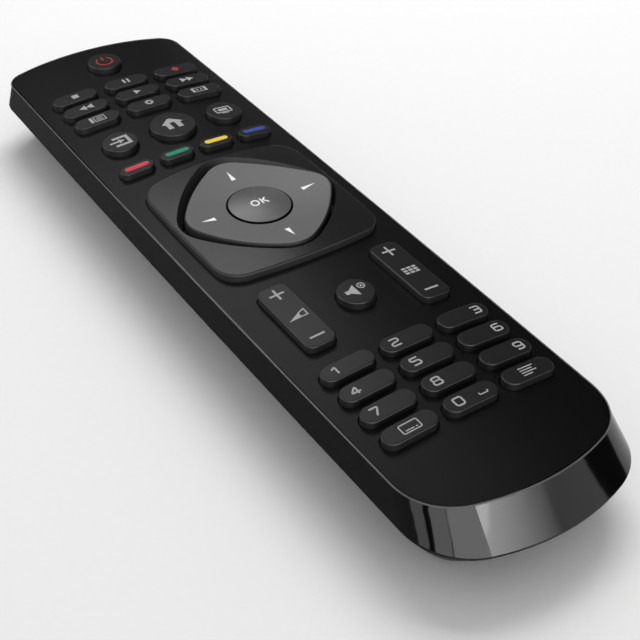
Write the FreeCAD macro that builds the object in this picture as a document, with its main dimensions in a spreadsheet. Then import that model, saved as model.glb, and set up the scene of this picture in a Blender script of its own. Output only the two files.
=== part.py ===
# A television remote control: a crowned matte cover in a gloss frame, a back shell with a
# sliding battery door, sprung keys and the parts inside. Millimetres. The origin is on the
# resting face, midway along the case: X across, +Y towards the power key, +Z up.

import FreeCAD, Part
import collections
import math
import os
import Sketcher

SIZES = {
    # The gloss frame: its outline where it meets the back shell, and at the deck's crest.
    "deck_height": 18.5,
    "crown_radius": 215.0,
    "deck_half_width": 24.35,
    "deck_near": 93.1,
    "deck_far": 95.3,
    "deck_near_arc": 38.0,
    "deck_far_arc": 100.0,
    "deck_near_corner": 14.0,
    "deck_far_corner": 5.0,
    "skirt_height": 11.2,
    "skirt_half_width": 26.0,
    "skirt_near": 99.25,
    "skirt_far": 99.25,
    "skirt_near_arc": 49.0,
    "skirt_far_arc": 52.0,
    "skirt_near_corner": 14.0,
    "skirt_far_corner": 5.0,
    "side_arc": 8000.0,
    "widest_place": 43.0,
    "frame_wall": 1.6,
    "ledge_depth": 1.0,
    "ledge_reach": 1.3,

    # The matte cover that lies in the frame. Its rim is the width of the frame seen round it.
    "cover_rim": 0.45,
    "cover_near_trim": 1.1,
    "cover_far_bow": 0.82,
    "cover_thickness": 1.6,
    "cover_seat": 15.3,
    "cover_lip": 1.1,
    "cover_fit": 0.08,

    # The back shell.
    "seam_inset": 0.1,
    "seam_height": 0.7,
    "base_half_width": 18.9,
    "base_near": 90.4,
    "base_far": 95.4,
    "base_near_arc": 44.0,
    "base_far_arc": 40.0,
    "base_near_corner": 7.0,
    "base_far_corner": 5.0,
    "base_bevel_reach": 0.5,
    "base_bevel_height": 1.1,
    "shell_wall": 2.0,
    "shell_floor": 1.6,

    # The battery bay and its door.
    "bay_half_width": 12.4,
    "bay_far": -26.0,
    "bay_length": 50.5,
    "bay_wall": 1.3,
    "door_half_width": 11.4,
    "door_far": -22.2,
    "door_height": 5.0,
    "door_skin": 1.4,
    "door_gap": 0.2,
    "tongue_reach": 0.8,
    "tongue_height": 0.8,
    "tongue_rib": 1.2,
    "tongue_lift": 0.2,
    "cell_radius": 5.25,
    "cell_length": 44.5,
    "cell_spacing": 11.2,
    "cell_lift": 0.25,
    "nub_radius": 1.9,
    "nub_length": 1.2,
    "contact_thickness": 0.4,
    "contact_width": 8.0,
    "contact_height": 7.0,
    "coil_wire": 0.3,
    "coil_radius": 2.4,
    "coil_pitch": 1.15,
    "coil_cone": 14.0,

    # The circuit board and what is on it.
    "board_seat": 12.35,
    "board_thickness": 1.0,
    "board_half_width": 21.5,
    "board_near": -80.0,
    "board_far": 89.2,
    "board_corner": 6.0,
    "post_radius": 1.6,
    "post_across": 15.8,
    "post_far": 60.0,
    "chip_side": 10.0,
    "chip_thickness": 1.4,
    "chip_place": 22.0,
    "resonator_length": 7.0,
    "resonator_width": 3.6,
    "resonator_thickness": 2.4,
    "resonator_place": 38.0,
    "capacitor_radius": 2.5,
    "capacitor_length": 7.0,
    "capacitor_place": 4.0,
    "led_radius": 1.6,
    "led_collar": 0.35,
    "led_collar_length": 1.0,
    "led_length": 5.8,
    "led_gap": 0.1,
    "window_half_width": 8.0,
    "window_bottom": 11.7,
    "window_top": 15.1,
    "window_back": 95.5,
    "window_fit": 0.05,

    # The rubber mat under the keys.
    "mat_half_width": 21.5,
    "mat_near": -78.0,
    "mat_far": 88.6,
    "mat_thickness": 0.6,
    "dome_radius": 1.9,
    "dome_height": 0.4,

    # What all keys share.
    "key_rise": 1.66,
    "key_gap": 0.25,
    "key_rounding": 0.3,
    "flange_reach": 0.5,
    "flange_gap": 0.1,
    "rocking_bottom": 15.2,

    # Key sizes.
    "pill_length": 12.0,
    "pill_width": 4.5,
    "colour_length": 8.7,
    "colour_width": 3.8,
    "power_radius": 4.4,
    "home_radius": 5.75,
    "side_round_radius": 4.4,
    "mute_radius": 4.1,
    "rocker_length": 20.7,
    "rocker_width": 7.0,
    "rocker_corner": 1.8,
    "rib_length": 5.0,
    "rib_width": 1.6,
    "rib_depth": 0.65,

    # Key places, measured from the middle of the case.
    "number_first_row": -51.3,
    "number_row_pitch": 6.53,
    "number_pitch": 14.0,
    "media_first_row": 70.93,
    "media_row_pitch": 6.62,
    "media_pitch": 14.45,
    "power_place": 83.99,
    "home_place": 45.01,
    "side_round_pitch": 14.38,
    "colour_place": 32.75,
    "colour_pitch": 10.7,
    "arrows_place": 3.75,
    "rocker_place": -33.35,
    "rocker_pitch": 14.12,
    "mute_place": -34.03,

    # The arrow ring, its centre button and the plate with four corner keys round it.
    "plate_half_width": 20.5,
    "plate_half_length": 22.1,
    "plate_side_arc": 500.0,
    "plate_end_arc": 90.0,
    "plate_corner": 6.5,
    "plate_rounding": 0.4,
    "gutter_width": 2.4,
    "gutter_shift": 1.6,
    "gutter_top": 21.0,
    "gutter_foot": 17.3,
    "ring_tip": 18.2,
    "ring_corner": 7.0,
    "ring_flat": 15.8,
    "ring_gap": 0.5,
    "ring_bottom": 15.4,
    "ring_hole": 7.6,
    "ring_rounding": 0.5,
    "dish_radius": 105.0,
    "dish_height": 19.3,
    "centre_radius": 7.1,
    "centre_rim": 19.85,
    "centre_top": 20.5,
    "centre_bottom": 15.2,
    "cushion_gap": 0.1,
    "ring_cushion_radius": 8.6,
    "ring_cushion_width": 2.0,
    "ring_cushion_thickness": 0.8,
    "plate_cushion_radius": 18.8,
    "plate_cushion_width": 1.3,
    "plate_cushion_thickness": 0.6,
}

# The document's object for each separate piece, in the order they are made.
SUBPARTS = []


class Size:
    """A number together with the spreadsheet expression that gives it."""

    def __init__(self, value, text):
        self.value = float(value)
        self.text = text

    def combine(self, sign, other, value):
        other_text = other.text if isinstance(other, Size) else repr(float(other))
        return Size(value, f"({self.text} {sign} {other_text})")

    def __add__(self, other):
        return self.combine("+", other, self.value + float(other))

    def __sub__(self, other):
        return self.combine("-", other, self.value - float(other))

    def __mul__(self, other):
        return self.combine("*", other, self.value * float(other))

    def __truediv__(self, other):
        return self.combine("/", other, self.value / float(other))

    def __neg__(self):
        return Size(-self.value, f"(0 - {self.text})")

    def __float__(self):
        return self.value


doc = FreeCAD.newDocument("remote_control")
sheet = doc.addObject("Spreadsheet::Sheet", "Sizes")
S = collections.namedtuple("NamedSizes", SIZES)(*(Size(value, f"Sizes.{name}") for name, value in SIZES.items()))
for row, (name, value) in enumerate(SIZES.items(), start=1):
    sheet.set(f"A{row}", name)
    sheet.set(f"B{row}", str(value))
    sheet.setAlias(f"B{row}", name)
doc.recompute()


# Bodies, sketches and features


def new_body(label):
    body = doc.addObject("PartDesign::Body", label)
    body.Label = label
    body.Placement = FreeCAD.Placement()
    SUBPARTS.append(body)
    return body


def bind(feature, name, size):
    setattr(feature, name, size.value)
    feature.setExpression(name, size.text)


def new_sketch(body, plane="XY_Plane", offset=None):
    """Adds a sketch on one of the body's origin planes, moved along the plane's normal."""
    sketch = body.newObject("Sketcher::SketchObject", f"{body.Label}_sketch")
    planes = {feature.Role: feature for feature in body.Origin.OriginFeatures}
    sketch.AttachmentSupport = [(planes[plane], "")]
    sketch.MapMode = "FlatFace"
    if offset is not None:
        sketch.AttachmentOffset = FreeCAD.Placement(FreeCAD.Vector(0, 0, offset.value), FreeCAD.Rotation())
        sketch.setExpression("AttachmentOffset.Base.z", offset.text)
    return sketch


def pad(body, sketch, length, reverse=False, both=False):
    feature = body.newObject("PartDesign::Pad", f"{body.Label}_pad")
    feature.Profile = sketch
    bind(feature, "Length", length)
    feature.Reversed = reverse
    feature.SideType = "Symmetric" if both else "One side"
    return feature


def pocket(body, sketch, length=None, reverse=False, both=False):
    """Cuts against the sketch's normal, or along it in reverse; with no length, through all."""
    feature = body.newObject("PartDesign::Pocket", f"{body.Label}_pocket")
    feature.Profile = sketch
    feature.Reversed = reverse
    feature.SideType = "Symmetric" if both else "One side"
    if length is None:
        feature.Type = "ThroughAll"
    else:
        bind(feature, "Length", length)
    return feature


def loft(body, sketches, kind="PartDesign::AdditiveLoft"):
    feature = body.newObject(kind, f"{body.Label}_loft")
    feature.Profile = sketches[0]
    feature.Sections = sketches[1:]
    feature.Ruled = True
    return feature


def revolve(body, sketch, axis, kind="PartDesign::Revolution"):
    """Turns a sketch all the way round one of its own axes or edges, to add or to cut."""
    feature = body.newObject(kind, f"{body.Label}_turn")
    feature.Profile = sketch
    feature.ReferenceAxis = (sketch, [axis])
    feature.Angle = 360.0
    return feature


def face_name(feature, wanted):
    """Name of the face of a feature that a measure rates highest."""
    faces = feature.Shape.Faces
    best = max(range(len(faces)), key=lambda index: wanted(faces[index]))
    return f"Face{best + 1}"


def round_top(body, feature, radius):
    """Rounds every edge of the highest face."""
    doc.recompute()
    top = face_name(feature, lambda face: face.CenterOfMass.z)
    rounding = body.newObject("PartDesign::Fillet", f"{body.Label}_rounding")
    rounding.Base = (feature, [top])
    bind(rounding, "Radius", radius)


# Sketch geometry and constraints


def measure(sketch, kind, references, size):
    index = sketch.addConstraint(Sketcher.Constraint(kind, *references, size.value))
    sketch.setExpression(f"Constraints[{index}]", size.text)


def place_point(sketch, geometry, point, x=None, y=None):
    """Holds a point at x, y from the sketch's origin. None means on the axis."""
    for kind, axis, distance in (("DistanceX", -2, x), ("DistanceY", -1, y)):
        if distance is None:
            sketch.addConstraint(Sketcher.Constraint("PointOnObject", geometry, point, axis))
        elif distance.value < 0:
            measure(sketch, kind, (geometry, point, -1, 1), -distance)
        else:
            measure(sketch, kind, (-1, 1, geometry, point), distance)


def number(size):
    return 0.0 if size is None else float(size)


def add_arc(sketch, centre, radius, start, end):
    """Adds the arc that runs anticlockwise between two points seen from its centre."""
    first = math.atan2(start[1] - centre[1], start[0] - centre[0])
    last = math.atan2(end[1] - centre[1], end[0] - centre[0])
    if last <= first:
        last += 2 * math.pi
    circle = Part.Circle(FreeCAD.Vector(centre[0], centre[1], 0), FreeCAD.Vector(0, 0, 1), radius)
    return sketch.addGeometry(Part.ArcOfCircle(circle, first, last), False)


def add_line(sketch, start, end):
    line = Part.LineSegment(FreeCAD.Vector(start[0], start[1], 0), FreeCAD.Vector(end[0], end[1], 0))
    return sketch.addGeometry(line, False)


def join(sketch, pieces, kind):
    """Joins each piece's end to the next one's start, smoothly or at a corner."""
    for first, second in zip(pieces, pieces[1:] + pieces[:1]):
        sketch.addConstraint(Sketcher.Constraint(kind, first, 2, second, 1))


def circle(sketch, x, y, radius):
    shape = Part.Circle(FreeCAD.Vector(number(x), number(y), 0), FreeCAD.Vector(0, 0, 1), radius.value)
    index = sketch.addGeometry(shape, False)
    place_point(sketch, index, 3, x, y)
    measure(sketch, "Radius", (index,), radius)


def box(sketch, left, right, bottom, top):
    """A rectangle with its sides at four places."""
    corners = [(left, bottom), (right, bottom), (right, top), (left, top)]
    points = [(corner[0].value, corner[1].value) for corner in corners]
    sides = [add_line(sketch, points[index], points[(index + 1) % 4]) for index in range(4)]
    join(sketch, sides, "Coincident")
    for side in (sides[0], sides[2]):
        sketch.addConstraint(Sketcher.Constraint("Horizontal", side))
    for side in (sides[1], sides[3]):
        sketch.addConstraint(Sketcher.Constraint("Vertical", side))
    place_point(sketch, sides[0], 1, left, bottom)
    place_point(sketch, sides[2], 1, right, top)


def polygon(sketch, points):
    """A closed outline of straight sides through points held by their coordinates."""
    values = [(float(x), float(y)) for x, y in points]
    sides = [add_line(sketch, values[index], values[(index + 1) % len(values)]) for index in range(len(values))]
    join(sketch, sides, "Coincident")
    for side, (x, y) in zip(sides, points):
        place_point(sketch, side, 1, x, y)


def pill(sketch, x, y, length, width):
    """A slot along X: two half circles joined by straight sides."""
    radius = width.value / 2
    reach = (length.value - width.value) / 2
    centre_x = number(x)
    centre_y = number(y)
    right = (centre_x + reach, centre_y)
    left = (centre_x - reach, centre_y)
    top_right = (right[0], right[1] + radius)
    top_left = (left[0], left[1] + radius)
    bottom_left = (left[0], left[1] - radius)
    bottom_right = (right[0], right[1] - radius)
    pieces = [
        add_arc(sketch, right, radius, bottom_right, top_right),
        add_line(sketch, top_right, top_left),
        add_arc(sketch, left, radius, top_left, bottom_left),
        add_line(sketch, bottom_left, bottom_right),
    ]
    join(sketch, pieces, "Tangent")
    sketch.addConstraint(Sketcher.Constraint("Horizontal", pieces[1]))
    sketch.addConstraint(Sketcher.Constraint("Equal", pieces[0], pieces[2]))
    measure(sketch, "Radius", (pieces[0],), width / 2)
    half = (length - width) / 2
    place_point(sketch, pieces[0], 3, half if x is None else x + half, y)
    measure(sketch, "DistanceX", (pieces[2], 3, pieces[0], 3), half * 2)


def rounded_box(sketch, x, y, across, along, corner):
    """A rectangle with rounded corners about a centre."""
    half_x = across.value / 2
    half_y = along.value / 2
    radius = corner.value
    centre_x = number(x)
    centre_y = number(y)
    pieces = []
    corners = []
    for sign_x, sign_y in ((1, 1), (-1, 1), (-1, -1), (1, -1)):
        middle = (centre_x + sign_x * (half_x - radius), centre_y + sign_y * (half_y - radius))
        on_side = (middle[0] + sign_x * radius, middle[1])
        on_end = (middle[0], middle[1] + sign_y * radius)
        start, end = (on_side, on_end) if sign_x == sign_y else (on_end, on_side)
        corners.append((start, end))
        pieces.append(add_arc(sketch, middle, radius, start, end))
        pieces.append(None)
    for index in range(4):
        pieces[2 * index + 1] = add_line(sketch, corners[index][1], corners[(index + 1) % 4][0])
    join(sketch, pieces, "Tangent")
    for index in (1, 5):
        sketch.addConstraint(Sketcher.Constraint("Horizontal", pieces[index]))
    for index in (3, 7):
        sketch.addConstraint(Sketcher.Constraint("Vertical", pieces[index]))
    for index in (2, 4, 6):
        sketch.addConstraint(Sketcher.Constraint("Equal", pieces[0], pieces[index]))
    measure(sketch, "Radius", (pieces[0],), corner)
    inner_x = across / 2 - corner
    inner_y = along / 2 - corner
    place_point(sketch, pieces[0], 3, inner_x if x is None else x + inner_x, inner_y if y is None else y + inner_y)
    measure(sketch, "DistanceX", (pieces[4], 3, pieces[0], 3), inner_x * 2)
    measure(sketch, "DistanceY", (pieces[4], 3, pieces[0], 3), inner_y * 2)


def arc_region(sketch, radius, centre_height, closing_height, reach):
    """The region between an arc over the long axis and a level line above or below it."""
    drop = radius.value - math.sqrt(radius.value ** 2 - reach.value ** 2)
    edge_height = centre_height.value + radius.value - drop
    right = (reach.value, edge_height)
    left = (-reach.value, edge_height)
    close_left = (left[0], closing_height.value)
    close_right = (right[0], closing_height.value)
    pieces = [
        add_arc(sketch, (0.0, centre_height.value), radius.value, right, left),
        add_line(sketch, left, close_left),
        add_line(sketch, close_left, close_right),
        add_line(sketch, close_right, right),
    ]
    join(sketch, pieces, "Coincident")
    sketch.addConstraint(Sketcher.Constraint("Vertical", pieces[1]))
    sketch.addConstraint(Sketcher.Constraint("Horizontal", pieces[2]))
    sketch.addConstraint(Sketcher.Constraint("Vertical", pieces[3]))
    place_point(sketch, pieces[0], 3, None, centre_height)
    measure(sketch, "Radius", (pieces[0],), radius)
    place_point(sketch, pieces[2], 1, -reach, closing_height)
    measure(sketch, "DistanceX", (pieces[2], 1, pieces[2], 2), reach * 2)


# Long outlines of the case: bowed sides and ends with rounded corners


Outline = collections.namedtuple(
    "Outline", "half_width near far widest side_arc near_arc far_arc near_corner far_corner"
)


def inset(outline, distance):
    """The outline moved inwards by the same distance all round."""
    return Outline(
        outline.half_width - distance,
        outline.near + distance,
        outline.far - distance,
        outline.widest,
        outline.side_arc - distance,
        outline.near_arc - distance,
        outline.far_arc - distance,
        outline.near_corner - distance,
        outline.far_corner - distance,
    )


def between(low, high, low_height, high_height, height):
    """The outline at a height of the wall that runs straight between two outlines."""
    share = (height - low_height) / (high_height - low_height)
    return Outline(*(first + (second - first) * share for first, second in zip(low, high)))


def corner_centre(side, end, corner, turn):
    """Centre of a circle that touches two larger circles from inside. Circles are x, y, radius."""
    side_reach = side[2] - corner
    end_reach = end[2] - corner
    gap_x = end[0] - side[0]
    gap_y = end[1] - side[1]
    gap = math.hypot(gap_x, gap_y)
    along = (side_reach ** 2 - end_reach ** 2 + gap ** 2) / (2 * gap)
    across = turn * math.sqrt(side_reach ** 2 - along ** 2)
    x = side[0] + (along * gap_x - across * gap_y) / gap
    y = side[1] + (along * gap_y + across * gap_x) / gap
    return (x, y)


def touching_point(large, small_centre):
    """Where a circle touches the larger circle round it."""
    gap_x = small_centre[0] - large[0]
    gap_y = small_centre[1] - large[1]
    scale = large[2] / math.hypot(gap_x, gap_y)
    return (large[0] + gap_x * scale, large[1] + gap_y * scale)


def mirrored(point):
    return (-point[0], point[1])


def bowed_outline(sketch, outline):
    """Draws an outline as eight arcs that run smoothly into each other."""
    value = Outline(*(float(size) for size in outline))
    side = (value.half_width - value.side_arc, value.widest, value.side_arc)
    near = (0.0, value.near + value.near_arc, value.near_arc)
    far = (0.0, value.far - value.far_arc, value.far_arc)
    near_middle = corner_centre(side, near, value.near_corner, -1)
    far_middle = corner_centre(side, far, value.far_corner, 1)
    side_near = touching_point(side, near_middle)
    side_far = touching_point(side, far_middle)
    end_near = touching_point(near, near_middle)
    end_far = touching_point(far, far_middle)
    pieces = [
        add_arc(sketch, side[:2], value.side_arc, side_near, side_far),
        add_arc(sketch, far_middle, value.far_corner, side_far, end_far),
        add_arc(sketch, far[:2], value.far_arc, end_far, mirrored(end_far)),
        add_arc(sketch, mirrored(far_middle), value.far_corner, mirrored(end_far), mirrored(side_far)),
        add_arc(sketch, mirrored(side[:2]), value.side_arc, mirrored(side_far), mirrored(side_near)),
        add_arc(sketch, mirrored(near_middle), value.near_corner, mirrored(side_near), mirrored(end_near)),
        add_arc(sketch, near[:2], value.near_arc, mirrored(end_near), end_near),
        add_arc(sketch, near_middle, value.near_corner, end_near, side_near),
    ]
    join(sketch, pieces, "Tangent")
    side_centre = outline.half_width - outline.side_arc
    radii = (
        outline.side_arc,
        outline.far_corner,
        outline.far_arc,
        outline.far_corner,
        outline.side_arc,
        outline.near_corner,
        outline.near_arc,
        outline.near_corner,
    )
    for piece, radius in zip(pieces, radii):
        measure(sketch, "Radius", (piece,), radius)
    place_point(sketch, pieces[0], 3, side_centre, outline.widest)
    place_point(sketch, pieces[4], 3, -side_centre, outline.widest)
    place_point(sketch, pieces[2], 3, None, outline.far - outline.far_arc)
    place_point(sketch, pieces[6], 3, None, outline.near + outline.near_arc)


def diamond(sketch, place, tip, corner, flat):
    """The ring's outline: rounded tips on the axes, joined by sides that bulge.

    tip is the reach on the axes, flat the reach on the diagonals.
    """
    tip_centre = tip - corner
    flat_reach = flat - corner
    diagonal = math.sqrt(2)
    setback = (tip_centre * tip_centre - flat_reach * flat_reach) / (flat_reach * 2 - tip_centre * diagonal)
    side = flat + setback
    shift = setback.value / diagonal
    reach = tip_centre.value
    middle = place.value
    tips = [(reach, middle), (0.0, middle + reach), (-reach, middle), (0.0, middle - reach)]
    centres = [(-shift, middle - shift), (shift, middle - shift), (shift, middle + shift), (-shift, middle + shift)]
    pieces = []
    for index in range(4):
        before = centres[index - 1] + (side.value,)
        after = centres[index] + (side.value,)
        following = tips[(index + 1) % 4]
        start = touching_point(before, tips[index])
        end = touching_point(after, tips[index])
        pieces.append(add_arc(sketch, tips[index], corner.value, start, end))
        pieces.append(add_arc(sketch, centres[index], side.value, end, touching_point(after, following)))
    join(sketch, pieces, "Tangent")
    for index in (0, 2, 4, 6):
        measure(sketch, "Radius", (pieces[index],), corner)
        measure(sketch, "Radius", (pieces[index + 1],), side)
    place_point(sketch, pieces[0], 3, tip_centre, place)
    place_point(sketch, pieces[2], 3, None, place + tip_centre)
    place_point(sketch, pieces[4], 3, -tip_centre, place)
    place_point(sketch, pieces[6], 3, None, place - tip_centre)


# The crown that the cover and all key tops follow

CROWN_CENTRE = S.deck_height - S.crown_radius
CROWN_REACH = S.skirt_half_width + 5
SKY = S.deck_height + 20


def cut_above_crown(body, rise):
    """Cuts away all that stands above the crown, raised or lowered by a distance."""
    sketch = new_sketch(body, "XZ_Plane")
    arc_region(sketch, S.crown_radius + rise, CROWN_CENTRE, SKY, CROWN_REACH)
    return pocket(body, sketch, both=True)


def cut_below_crown(body, rise, depth):
    """Cuts away all that lies between the crown, raised or lowered, and a level below it."""
    sketch = new_sketch(body, "XZ_Plane")
    arc_region(sketch, S.crown_radius + rise, CROWN_CENTRE, depth, CROWN_REACH)
    return pocket(body, sketch, both=True)


# Outlines of the case at its levels

DECK = Outline(
    S.deck_half_width, -S.deck_near, S.deck_far, S.widest_place, S.side_arc,
    S.deck_near_arc, S.deck_far_arc, S.deck_near_corner, S.deck_far_corner,
)
SKIRT = Outline(
    S.skirt_half_width, -S.skirt_near, S.skirt_far, S.widest_place, S.side_arc,
    S.skirt_near_arc, S.skirt_far_arc, S.skirt_near_corner, S.skirt_far_corner,
)
BASE = Outline(
    S.base_half_width, -S.base_near, S.base_far, S.widest_place, S.side_arc,
    S.base_near_arc, S.base_far_arc, S.base_near_corner, S.base_far_corner,
)
SEAM = inset(SKIRT, S.seam_inset)
SEAM_BOTTOM = S.skirt_height - S.seam_height
WALL_HEIGHT = S.deck_height - S.skirt_height
GROUND = S.deck_height * 0
COVER_UNDERSIDE = -S.cover_thickness


def crest_arc(deck_arc, deck_end, skirt_end):
    """Radius of the end arc in which the crown and the flaring wall meet, seen from above."""
    flare = (skirt_end - deck_end) / WALL_HEIGHT
    return deck_arc * S.crown_radius / (S.crown_radius - deck_arc * flare)


CROWN_DROP = S.deck_half_width * S.deck_half_width / (S.crown_radius * 2)
CREST = Outline(
    S.deck_half_width + (S.skirt_half_width - S.deck_half_width) * CROWN_DROP / WALL_HEIGHT,
    -S.deck_near,
    S.deck_far,
    S.widest_place,
    S.side_arc,
    crest_arc(S.deck_near_arc, S.deck_near, S.skirt_near),
    crest_arc(S.deck_far_arc, S.deck_far, S.skirt_far) * S.cover_far_bow,
    S.deck_near_corner - S.cover_near_trim,
    S.deck_far_corner,
)
COVER = inset(CREST, S.cover_rim)


def outline_sketch(body, outline, height):
    sketch = new_sketch(body, offset=height)
    bowed_outline(sketch, outline)
    return sketch


# Keys: name, kind, sizes, x, y. The kinds are pill and round.

Key = collections.namedtuple("Key", "name kind sizes x y")


def grid_keys(rows, sizes, pitch, first_row, row_pitch):
    keys = []
    for row, names in enumerate(rows):
        for column, name in zip((-1, 0, 1), names):
            x = None if column == 0 else pitch * column
            keys.append(Key(name, "pill", sizes, x, first_row - row_pitch * row))
    return keys


NUMBER_NAMES = (
    ("one_key", "two_key", "three_key"),
    ("four_key", "five_key", "six_key"),
    ("seven_key", "eight_key", "nine_key"),
    ("subtitle_key", "zero_key", "text_key"),
)
MEDIA_NAMES = (
    ("stop_key", "pause_key", "record_key"),
    ("rewind_key", "play_key", "forward_key"),
    ("guide_key", "setup_key", "screen_key"),
)
PILL = (S.pill_length, S.pill_width)
COLOUR = (S.colour_length, S.colour_width)
KEY_GROUPS = (
    grid_keys(NUMBER_NAMES, PILL, S.number_pitch, S.number_first_row, S.number_row_pitch),
    grid_keys(MEDIA_NAMES, PILL, S.media_pitch, S.media_first_row, S.media_row_pitch),
    [
        Key("red_key", "pill", COLOUR, S.colour_pitch * -1.5, S.colour_place),
        Key("green_key", "pill", COLOUR, S.colour_pitch * -0.5, S.colour_place),
        Key("yellow_key", "pill", COLOUR, S.colour_pitch * 0.5, S.colour_place),
        Key("blue_key", "pill", COLOUR, S.colour_pitch * 1.5, S.colour_place),
    ],
    [
        Key("power_key", "round", (S.power_radius,), None, S.power_place),
        Key("home_key", "round", (S.home_radius,), None, S.home_place),
        Key("source_key", "round", (S.side_round_radius,), -S.side_round_pitch, S.home_place),
        Key("tv_key", "round", (S.side_round_radius,), S.side_round_pitch, S.home_place),
        Key("mute_key", "round", (S.mute_radius,), None, S.mute_place),
    ],
)
SLIDING_KEYS = [key for group in KEY_GROUPS for key in group]
ROCKERS = (("volume_rocker", -S.rocker_pitch), ("channel_rocker", S.rocker_pitch))


def key_outline(sketch, key, growth=None):
    """A sliding key's outline, grown all round by a distance."""
    if key.kind == "pill":
        length, width = key.sizes
        if growth is not None:
            length = length + growth * 2
            width = width + growth * 2
        pill(sketch, key.x, key.y, length, width)
    else:
        radius = key.sizes[0]
        if growth is not None:
            radius = radius + growth
        circle(sketch, key.x, key.y, radius)


def sliding_key(key):
    """A cap that follows the crown, over a flange that stops it under the cover."""
    body = new_body(key.name)
    flange = new_sketch(body, offset=S.cover_seat)
    key_outline(flange, key, S.flange_reach)
    pad(body, flange, S.deck_height - S.cover_seat)
    cut_above_crown(body, COVER_UNDERSIDE - S.flange_gap)
    cap = new_sketch(body, offset=S.cover_seat)
    key_outline(cap, key)
    pad(body, cap, SKY - S.cover_seat - 1)
    top = cut_above_crown(body, S.key_rise)
    round_top(body, top, S.key_rounding)


def rocker(name, x):
    """A long key that rocks on a rib across its middle."""
    body = new_body(name)
    cap = new_sketch(body, offset=S.rocking_bottom)
    rounded_box(cap, x, S.rocker_place, S.rocker_width, S.rocker_length, S.rocker_corner)
    pad(body, cap, SKY - S.rocking_bottom - 1)
    top = cut_above_crown(body, S.key_rise)
    round_top(body, top, S.key_rounding)
    rib = new_sketch(body, offset=S.rocking_bottom)
    half_length = S.rib_length / 2
    half_width = S.rib_width / 2
    box(rib, x - half_length, x + half_length, S.rocker_place - half_width, S.rocker_place + half_width)
    pad(body, rib, S.rib_depth, reverse=True)


def corner_plate_outline(sketch, growth=None):
    outline = Outline(
        S.plate_half_width, S.arrows_place - S.plate_half_length, S.arrows_place + S.plate_half_length,
        S.arrows_place, S.plate_side_arc, S.plate_end_arc, S.plate_end_arc, S.plate_corner, S.plate_corner,
    )
    bowed_outline(sketch, outline if growth is None else inset(outline, -growth))


def ring_outline(sketch, growth=None, place=S.arrows_place):
    """The arrow ring's outline, grown all round by a distance."""
    sizes = (S.ring_tip, S.ring_corner, S.ring_flat)
    if growth is not None:
        sizes = [size + growth for size in sizes]
    diamond(sketch, place, *sizes)


def corner_plate():
    """The plate round the arrow ring, a key at each corner, with a gutter that widens to the far side."""
    body = new_body("corner_plate")
    cap = new_sketch(body, offset=S.rocking_bottom)
    corner_plate_outline(cap)
    pad(body, cap, SKY - S.rocking_bottom - 1)
    top = cut_above_crown(body, S.key_rise)
    round_top(body, top, S.plate_rounding)
    hole = new_sketch(body)
    ring_outline(hole, S.ring_gap)
    pocket(body, hole, reverse=True)
    foot = new_sketch(body, offset=S.gutter_foot)
    ring_outline(foot)
    mouth = new_sketch(body, offset=S.gutter_top)
    ring_outline(mouth, S.gutter_width, S.arrows_place + S.gutter_shift)
    loft(body, [foot, mouth], "PartDesign::SubtractiveLoft")


def cut_above_dish(body):
    """Cuts away all that stands above a wide dish centred on the arrow ring."""
    sketch = new_sketch(body, "XZ_Plane", -S.arrows_place)
    radius = S.dish_radius.value
    reach = CROWN_REACH.value
    lowest = (0.0, S.dish_height.value)
    edge = (reach, lowest[1] + radius - math.sqrt(radius ** 2 - reach ** 2))
    top_edge = (reach, SKY.value)
    top_middle = (0.0, SKY.value)
    pieces = [
        add_arc(sketch, (0.0, lowest[1] + radius), radius, lowest, edge),
        add_line(sketch, edge, top_edge),
        add_line(sketch, top_edge, top_middle),
        add_line(sketch, top_middle, lowest),
    ]
    join(sketch, pieces, "Coincident")
    sketch.addConstraint(Sketcher.Constraint("Vertical", pieces[1]))
    place_point(sketch, pieces[0], 1, None, S.dish_height)
    sketch.addConstraint(Sketcher.Constraint("PointOnObject", pieces[0], 3, -2))
    measure(sketch, "Radius", (pieces[0],), S.dish_radius)
    place_point(sketch, pieces[2], 1, CROWN_REACH, SKY)
    place_point(sketch, pieces[2], 2, None, SKY)
    return revolve(body, sketch, "V_Axis", "PartDesign::Groove")


def arrow_ring():
    """The diamond-shaped ring of the four arrow keys, dished on top."""
    body = new_body("arrow_ring")
    cap = new_sketch(body, offset=S.ring_bottom)
    ring_outline(cap)
    pad(body, cap, SKY - S.ring_bottom - 1)
    top = cut_above_dish(body)
    round_top(body, top, S.ring_rounding)
    hole = new_sketch(body)
    circle(hole, None, S.arrows_place, S.ring_hole)
    pocket(body, hole, reverse=True)


def centre_button():
    """The domed button inside the ring, turned about its own axis."""
    body = new_body("centre_button")
    sketch = new_sketch(body, "XZ_Plane", -S.arrows_place)
    radius = S.centre_radius.value
    rise = (S.centre_top - S.centre_rim).value
    sphere = (radius ** 2 + rise ** 2) / (2 * rise)
    top = (0.0, S.centre_top.value)
    rim = (radius, S.centre_rim.value)
    foot = (radius, S.centre_bottom.value)
    middle = (0.0, S.centre_bottom.value)
    pieces = [
        add_arc(sketch, (0.0, top[1] - sphere), sphere, rim, top),
        add_line(sketch, top, middle),
        add_line(sketch, middle, foot),
        add_line(sketch, foot, rim),
    ]
    join(sketch, pieces, "Coincident")
    place_point(sketch, pieces[0], 1, S.centre_radius, S.centre_rim)
    place_point(sketch, pieces[0], 2, None, S.centre_top)
    sketch.addConstraint(Sketcher.Constraint("PointOnObject", pieces[0], 3, -2))
    place_point(sketch, pieces[2], 1, None, S.centre_bottom)
    place_point(sketch, pieces[2], 2, S.centre_radius, S.centre_bottom)
    revolve(body, sketch, "V_Axis")


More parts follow.
